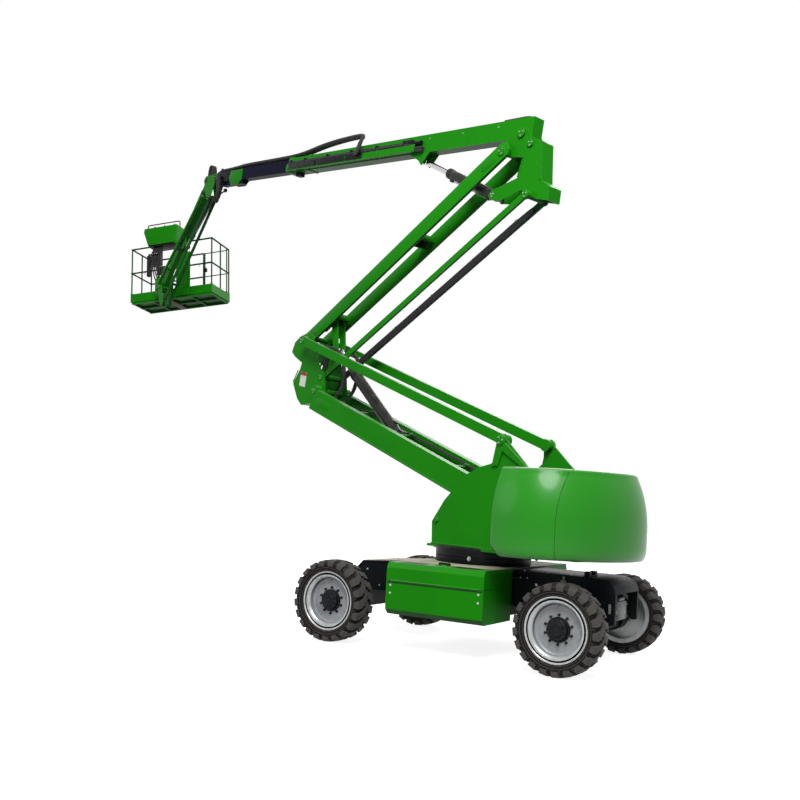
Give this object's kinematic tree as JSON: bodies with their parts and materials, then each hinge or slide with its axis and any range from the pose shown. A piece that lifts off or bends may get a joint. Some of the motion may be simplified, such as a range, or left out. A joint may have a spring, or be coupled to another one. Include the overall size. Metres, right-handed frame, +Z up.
{
  "type": "articulated boom lift",
  "caption": "Wheeled boom lift with a folding lift arm, a telescoping boom, a jib and a railed work platform on a slewing base.",
  "frame": {"origin": "on the ground below the middle of the machine's box, as it stands with its boom out", "axes": "+X is the chassis's forward direction, towards its steered wheels; +Y is its left side; +Z is up"},
  "size_m": [12.0856, 5.6264, 7.3033],
  "materials": {
    "green_paint": "gloss green paint",
    "black_paint": "satin black paint",
    "navy_paint": "satin dark blue paint",
    "grey_paint": "dark grey paint",
    "silver_paint": "silver grey paint",
    "tyre_rubber": "matt rubber",
    "hose_rubber": "smooth black rubber",
    "rod_chrome": "polished",
    "engine_grey": "cast grey",
    "tank_plastic": "black plastic",
    "iron": "gloss green paint on cast iron"
  },
  "bodies": {
    "chassis": {"chassis_frame": "black_paint", "drive_motor": "engine_grey", "front_axle": "black_paint", "rear_axle": "black_paint", "side_box_left": "green_paint", "side_box_right": "green_paint", "slewing_ring": "black_paint"},
    "lid_left": {"side_lid_left": "green_paint"},
    "lid_right": {"side_lid_right": "green_paint"},
    "steering_left": {"steering_knuckle_left": "black_paint"},
    "steering_right": {"steering_knuckle_right": "black_paint"},
    "turntable": {"turntable_frame": "green_paint", "counterweight": "iron", "engine": "engine_grey", "tanks": "tank_plastic"},
    "hood_left": {"hood_left": "green_paint"},
    "hood_right": {"hood_right": "green_paint"},
    "lower_arm": {"lower_beam_left": "green_paint", "lower_beam_right": "green_paint", "riser_clevis": "green_paint", "lower_cross": "green_paint"},
    "lower_links": {"lower_link_left": "green_paint", "lower_link_right": "green_paint"},
    "middle": {"middle_knuckle": "green_paint"},
    "upper_arm": {"upper_beam_left": "green_paint", "upper_beam_right": "green_paint", "upper_cross_far": "green_paint", "riser_eye_bracket": "green_paint"},
    "upper_links": {"upper_link_left": "green_paint", "upper_link_right": "green_paint", "link_hoses": "hose_rubber"},
    "upright": {"upright": "green_paint"},
    "riser_barrel": {"riser_barrel": "grey_paint"},
    "riser_rod": {"riser_rod": "rod_chrome"},
    "boom": {"boom_base": "green_paint"},
    "fly": {"boom_fly": "navy_paint"},
    "luff_barrel": {"luff_barrel": "grey_paint"},
    "luff_rod": {"luff_rod": "rod_chrome"},
    "nose": {"nose_bracket": "black_paint"},
    "jib": {"jib_beam": "green_paint"},
    "jib_link": {"jib_link": "black_paint"},
    "jib_barrel": {"jib_barrel": "grey_paint"},
    "jib_rod": {"jib_rod": "rod_chrome"},
    "support": {"platform_support": "green_paint"},
    "platform": {"platform_floor": "green_paint", "rail_near": "green_paint", "rail_far": "green_paint", "rail_left": "green_paint", "rail_right": "green_paint", "gate_post": "green_paint", "console": "green_paint"},
    "gate": {"gate": "green_paint"},
    "wheel_front_left": {"tyre_front_left": "tyre_rubber", "rim_front_left": "silver_paint"},
    "wheel_front_right": {"tyre_front_right": "tyre_rubber", "rim_front_right": "silver_paint"},
    "wheel_rear_left": {"tyre_rear_left": "tyre_rubber", "rim_rear_left": "silver_paint"},
    "wheel_rear_right": {"tyre_rear_right": "tyre_rubber", "rim_rear_right": "silver_paint"}
  },
  "joints": [
    {"name": "steer_left", "type": "hinge", "parent": "chassis", "child": "steering_left", "pos_m": [-2.433, 2.048, 0.465], "axis": [0, 0, 1], "range_deg": [-32, 32]},
    {"name": "wheel_front_left_spin", "type": "hinge", "parent": "steering_left", "child": "wheel_front_left", "pos_m": [-2.433, 2.348, 0.465], "axis": [0, 1, 0], "continuous": true},
    {"name": "wheel_rear_left_spin", "type": "hinge", "parent": "chassis", "child": "wheel_rear_left", "pos_m": [-5.199, 2.348, 0.465], "axis": [0, 1, 0], "continuous": true},
    {"name": "lid_left_open", "type": "hinge", "parent": "chassis", "child": "lid_left", "pos_m": [-3.816, 2.493, 0.777], "axis": [-1, 0, 0], "range_deg": [0, 90]},
    {"name": "hood_left_open", "type": "hinge", "parent": "turntable", "child": "hood_left", "pos_m": [-5.29824, 2.25026, 2.055], "axis": [0.9494, -0.314, 0], "range_deg": [0, 65]},
    {"name": "steer_right", "type": "hinge", "parent": "chassis", "child": "steering_right", "pos_m": [-2.433, 0.588, 0.465], "axis": [0, 0, 1], "range_deg": [-32, 32]},
    {"name": "wheel_front_right_spin", "type": "hinge", "parent": "steering_right", "child": "wheel_front_right", "pos_m": [-2.433, 0.288, 0.465], "axis": [0, 1, 0], "continuous": true},
    {"name": "wheel_rear_right_spin", "type": "hinge", "parent": "chassis", "child": "wheel_rear_right", "pos_m": [-5.199, 0.288, 0.465], "axis": [0, 1, 0], "continuous": true},
    {"name": "lid_right_open", "type": "hinge", "parent": "chassis", "child": "lid_right", "pos_m": [-3.816, 0.143, 0.777], "axis": [1, 0, 0], "range_deg": [0, 90]},
    {"name": "hood_right_open", "type": "hinge", "parent": "turntable", "child": "hood_right", "pos_m": [-5.56181, 1.45331, 2.055], "axis": [-0.9494, 0.314, 0], "range_deg": [0, 65]},
    {"name": "slew", "type": "hinge", "parent": "chassis", "child": "turntable", "pos_m": [-3.816, 1.318, 0], "axis": [0, 0, 1], "continuous": true},
    {"name": "riser_lift", "type": "hinge", "parent": "turntable", "child": "lower_arm", "pos_m": [-4.642, 1.59117, 1.637], "axis": [-0.314, -0.9494, 0], "range_deg": [-18, 42]},
    {"name": "lower_links_turn", "type": "hinge", "parent": "turntable", "child": "lower_links", "pos_m": [-4.37616, 1.50326, 2.38], "axis": [-0.314, -0.9494, 0], "range_deg": [-18.05, 42.05]},
    {"name": "middle_level", "type": "hinge", "parent": "lower_arm", "child": "middle", "pos_m": [-0.74392, 0.30201, 3.13948], "axis": [-0.314, -0.9494, 0], "range_deg": [-42.05, 18.05]},
    {"name": "upper_lift", "type": "hinge", "parent": "middle", "child": "upper_arm", "pos_m": [-0.36985, 0.1783, 3.95548], "axis": [0.314, 0.9494, 0], "range_deg": [-22.55, 52.55]},
    {"name": "upper_links_turn", "type": "hinge", "parent": "middle", "child": "upper_links", "pos_m": [-0.74962, 0.30389, 3.35048], "axis": [0.314, 0.9494, 0], "range_deg": [-22.55, 52.55]},
    {"name": "upright_level", "type": "hinge", "parent": "upper_arm", "child": "upright", "pos_m": [-3.95519, 1.36403, 5.83006], "axis": [0.314, 0.9494, 0], "range_deg": [-52.55, 22.55]},
    {"name": "riser_barrel_turn", "type": "hinge", "parent": "lower_arm", "child": "riser_barrel", "pos_m": [-2.2151, 0.78855, 2.50854], "axis": [-0.314, -0.9494, 0], "range_deg": [-3.23, 1.41]},
    {"name": "riser_rod_slide", "type": "slide", "parent": "riser_barrel", "child": "riser_rod", "axis": [0.7126, -0.2357, 0.6608], "range_m": [-0.279, 0.651]},
    {"name": "boom_luff", "type": "hinge", "parent": "upright", "child": "boom", "pos_m": [-4.17735, 1.43751, 6.01006], "axis": [-0.314, -0.9494, 0], "range_deg": [-8, 60]},
    {"name": "luff_barrel_turn", "type": "hinge", "parent": "upright", "child": "luff_barrel", "pos_m": [-3.76055, 1.29966, 5.37006], "axis": [-0.314, -0.9494, 0], "range_deg": [-7.05, 52.53]},
    {"name": "luff_rod_slide", "type": "slide", "parent": "luff_barrel", "child": "luff_rod", "axis": [0.8274, -0.2736, 0.4905], "range_m": [-0.106, 0.786]},
    {"name": "boom_telescope", "type": "slide", "parent": "boom", "child": "fly", "axis": [0.9388, -0.3105, 0.1495], "range_m": [-1.45, 1.25]},
    {"name": "nose_level", "type": "hinge", "parent": "fly", "child": "nose", "pos_m": [2.87247, -0.894, 7.20131], "axis": [-0.314, -0.9494, 0], "range_deg": [-60.05, 8.05]},
    {"name": "jib_lift", "type": "hinge", "parent": "nose", "child": "jib", "pos_m": [3.18578, -0.99762, 7.23131], "axis": [-0.314, -0.9494, 0], "range_deg": [-15, 95]},
    {"name": "jib_link_turn", "type": "hinge", "parent": "nose", "child": "jib_link", "pos_m": [3.06235, -0.9568, 6.88131], "axis": [-0.314, -0.9494, 0], "range_deg": [-15.05, 95.05]},
    {"name": "jib_barrel_turn", "type": "hinge", "parent": "nose", "child": "jib_barrel", "pos_m": [3.06235, -0.9568, 6.88131], "axis": [-0.314, -0.9494, 0], "range_deg": [-13.96, 88.13]},
    {"name": "jib_rod_slide", "type": "slide", "parent": "jib_barrel", "child": "jib_rod", "axis": [0.7327, -0.2423, -0.6359], "range_m": [-0.086, 0.541]},
    {"name": "support_level", "type": "hinge", "parent": "jib", "child": "support", "pos_m": [4.70559, -1.50025, 5.50264], "axis": [-0.314, -0.9494, 0], "range_deg": [-95.05, 15.05]},
    {"name": "platform_turn", "type": "hinge", "parent": "support", "child": "platform", "pos_m": [4.88057, -1.55812, 5.53889], "axis": [0.1239, -0.041, 0.9914], "range_deg": [-32.2, 147.8]},
    {"name": "gate_open", "type": "hinge", "parent": "platform", "child": "gate", "pos_m": [4.21579, -2.74784, 5.57281], "axis": [0.1239, -0.041, 0.9914], "range_deg": [0, 85]}
  ],
  "couplings": [
    {"joint": "steer_right", "follows": "steer_left", "ratio": 1},
    {"joint": "lower_links_turn", "follows": "riser_lift", "ratio": 1},
    {"joint": "middle_level", "follows": "riser_lift", "ratio": -1},
    {"joint": "upper_lift", "follows": "riser_lift", "ratio": 1.25},
    {"joint": "upper_links_turn", "follows": "riser_lift", "ratio": 1.25},
    {"joint": "upright_level", "follows": "riser_lift", "ratio": -1.25},
    {"joint": "riser_barrel_turn", "follows": "riser_lift", "ratio": -0.075682},
    {"joint": "riser_rod_slide", "follows": "riser_lift", "m_per_rad": 0.88632},
    {"joint": "luff_barrel_turn", "follows": "boom_luff", "ratio": 0.87463},
    {"joint": "luff_rod_slide", "follows": "boom_luff", "m_per_rad": 0.74978},
    {"joint": "nose_level", "follows": "boom_luff", "ratio": -1},
    {"joint": "jib_link_turn", "follows": "jib_lift", "ratio": 1},
    {"joint": "jib_barrel_turn", "follows": "jib_lift", "ratio": 0.92718},
    {"joint": "jib_rod_slide", "follows": "jib_lift", "m_per_rad": 0.32557},
    {"joint": "support_level", "follows": "jib_lift", "ratio": -1}
  ]
}
